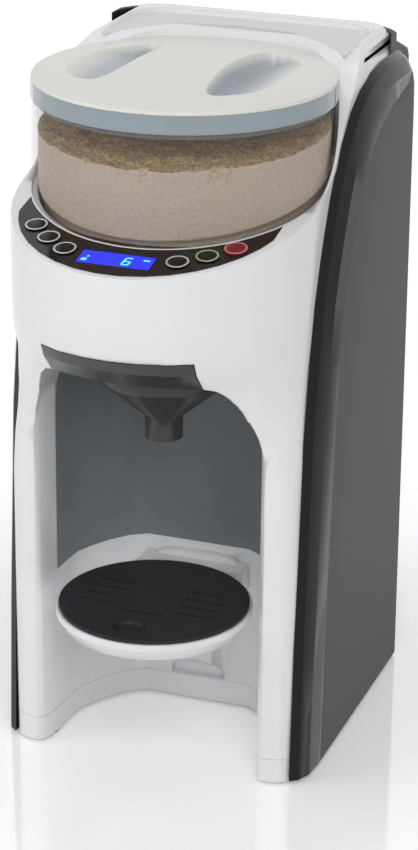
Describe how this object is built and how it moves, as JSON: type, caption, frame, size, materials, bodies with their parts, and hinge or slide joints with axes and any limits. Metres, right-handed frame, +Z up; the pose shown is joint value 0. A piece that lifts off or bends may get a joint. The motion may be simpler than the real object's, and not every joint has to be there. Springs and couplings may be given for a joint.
{
  "type": "baby formula maker",
  "caption": "Countertop machine that doses powder from a canister, mixes it with warm water in a pull-out funnel and fills a bottle on a tray",
  "frame": {"origin": "centre of the overall box on the floor", "axes": "+X to the right seen from the front, +Y towards the back, +Z up"},
  "size_m": [0.1676, 0.29, 0.354],
  "materials": {
    "white_shell": "smooth white moulding, soft gloss",
    "liner_grey": "satin mid-grey moulding",
    "deck_grey": "fine-textured light grey",
    "band_black": "polished black moulding",
    "panel_grey": "fine-textured dark grey",
    "cover_black": "satin black moulding",
    "panel_brown": "polished brown-black panel",
    "display_blue": "backlit blue display window",
    "board_green": "circuit board with solder mask",
    "dark_plastic": "unpolished dark moulding",
    "steel": "drawn steel can",
    "nylon": "natural gear nylon",
    "hose_clear": "translucent silicone",
    "canister_clear": "clear smoke-tinted plastic",
    "hopper_grey": "satin dark grey moulding",
    "powder": "fine cream powder, standing in for the contents",
    "lid_grey": "satin warm light grey",
    "seal_grey": "soft silicone ring",
    "funnel_smoke": "smoke-grey moulding",
    "grille_black": "polished black moulding",
    "button_silver": "bright silver-coloured key",
    "button_green": "green key",
    "button_red": "red key",
    "tank_clear": "clear tinted plastic",
    "foot_rubber": "black rubber pad"
  },
  "bodies": {
    "housing": {"base_plinth": "white_shell", "front_shell": "white_shell", "bay_liner": "liner_grey", "deck_inlay": "deck_grey", "rear_cover": "cover_black", "tank_dock": "cover_black", "valve_seat": "dark_plastic", "power_inlet": "dark_plastic", "control_panel": "panel_brown", "display_window": "display_blue", "display_module": "steel", "control_board": "board_green", "hopper_dock": "dark_plastic", "gearbox_housing": "dark_plastic", "drive_motor": "steel", "powder_chute": "dark_plastic", "water_nozzle": "nylon", "funnel_sensor": "dark_plastic", "water_pump": "dark_plastic", "flow_heater": "steel", "inlet_hose": "hose_clear", "pump_hose": "hose_clear", "feed_hose": "hose_clear", "power_board": "board_green", "side_band_right": "band_black", "side_band_left": "band_black", "side_panel_right": "panel_grey", "side_panel_left": "panel_grey", "funnel_rail_right": "dark_plastic", "funnel_rail_left": "dark_plastic", "foot_front_left": "foot_rubber", "foot_front_right": "foot_rubber", "foot_rear_left": "foot_rubber", "foot_rear_right": "foot_rubber"},
    "hopper": {"hopper_bowl": "canister_clear", "hopper_base": "hopper_grey", "powder_fill": "powder"},
    "dosing": {"dosing_wheel": "nylon", "stirrer": "nylon"},
    "drive": {"drive_gear": "nylon"},
    "idler": {"idler_gear": "nylon"},
    "pinion": {"motor_pinion": "steel"},
    "lid": {"lid_cap": "lid_grey", "lid_band": "canister_clear", "lid_seal": "seal_grey"},
    "funnel": {"funnel": "funnel_smoke"},
    "tray": {"tray_dish": "white_shell"},
    "grille": {"tray_grille": "grille_black"},
    "tank": {"water_tank": "tank_clear", "tank_valve": "dark_plastic"},
    "tank_flap": {"tank_lid": "cover_black"},
    "key_1": {"button_1": "button_silver"},
    "key_2": {"button_2": "button_silver"},
    "key_3": {"button_3": "button_silver"},
    "key_4": {"button_4": "button_silver"},
    "key_5": {"button_5": "button_green"},
    "key_6": {"button_6": "button_red"}
  },
  "joints": [
    {"name": "canister_lift", "type": "slide", "parent": "housing", "child": "hopper", "axis": [0, 0, 1], "range_m": [0, 0.11]},
    {"name": "dosing_spin", "type": "hinge", "parent": "hopper", "child": "dosing", "pos_m": [0, -0.0416, 0.27], "axis": [0, 0, 1], "continuous": true},
    {"name": "drive_spin", "type": "hinge", "parent": "housing", "child": "drive", "pos_m": [0, -0.0416, 0.25], "axis": [0, 0, 1], "continuous": true},
    {"name": "idler_spin", "type": "hinge", "parent": "housing", "child": "idler", "pos_m": [0, -0.0164, 0.25], "axis": [0, 0, 1], "continuous": true},
    {"name": "pinion_spin", "type": "hinge", "parent": "housing", "child": "pinion", "pos_m": [0, 0.0004, 0.25], "axis": [0, 0, 1], "continuous": true},
    {"name": "lid_lift", "type": "slide", "parent": "hopper", "child": "lid", "axis": [0, 0, 1], "range_m": [0, 0.05]},
    {"name": "funnel_slide", "type": "slide", "parent": "housing", "child": "funnel", "axis": [0, -1, 0], "range_m": [0, 0.11]},
    {"name": "tray_pull", "type": "slide", "parent": "housing", "child": "tray", "axis": [0, -1, 0], "range_m": [0, 0.12]},
    {"name": "grille_lift", "type": "slide", "parent": "tray", "child": "grille", "axis": [0, 0, 1], "range_m": [0, 0.05]},
    {"name": "tank_lift", "type": "slide", "parent": "housing", "child": "tank", "axis": [0, 0, 1], "range_m": [0, 0.12]},
    {"name": "tank_lid_hinge", "type": "hinge", "parent": "tank", "child": "tank_flap", "pos_m": [0, 0.08, 0.3306], "axis": [1, 0, 0], "range_deg": [0, 90]},
    {"name": "key_1_press", "type": "slide", "parent": "housing", "child": "key_1", "axis": [0, 0.2055, -0.9787], "range_m": [0, 0.0006], "stiffness_N_per_m": 300},
    {"name": "key_2_press", "type": "slide", "parent": "housing", "child": "key_2", "axis": [0, 0.2055, -0.9787], "range_m": [0, 0.0006], "stiffness_N_per_m": 300},
    {"name": "key_3_press", "type": "slide", "parent": "housing", "child": "key_3", "axis": [0, 0.2055, -0.9787], "range_m": [0, 0.0006], "stiffness_N_per_m": 300},
    {"name": "key_4_press", "type": "slide", "parent": "housing", "child": "key_4", "axis": [0, 0.2055, -0.9787], "range_m": [0, 0.0006], "stiffness_N_per_m": 300},
    {"name": "key_5_press", "type": "slide", "parent": "housing", "child": "key_5", "axis": [0, 0.2055, -0.9787], "range_m": [0, 0.0006], "stiffness_N_per_m": 300},
    {"name": "key_6_press", "type": "slide", "parent": "housing", "child": "key_6", "axis": [0, 0.2055, -0.9787], "range_m": [0, 0.0006], "stiffness_N_per_m": 300}
  ],
  "couplings": [
    {"joint": "drive_spin", "follows": "dosing_spin", "ratio": 1},
    {"joint": "idler_spin", "follows": "dosing_spin", "ratio": -1.3333},
    {"joint": "pinion_spin", "follows": "dosing_spin", "ratio": 2.4}
  ]
}
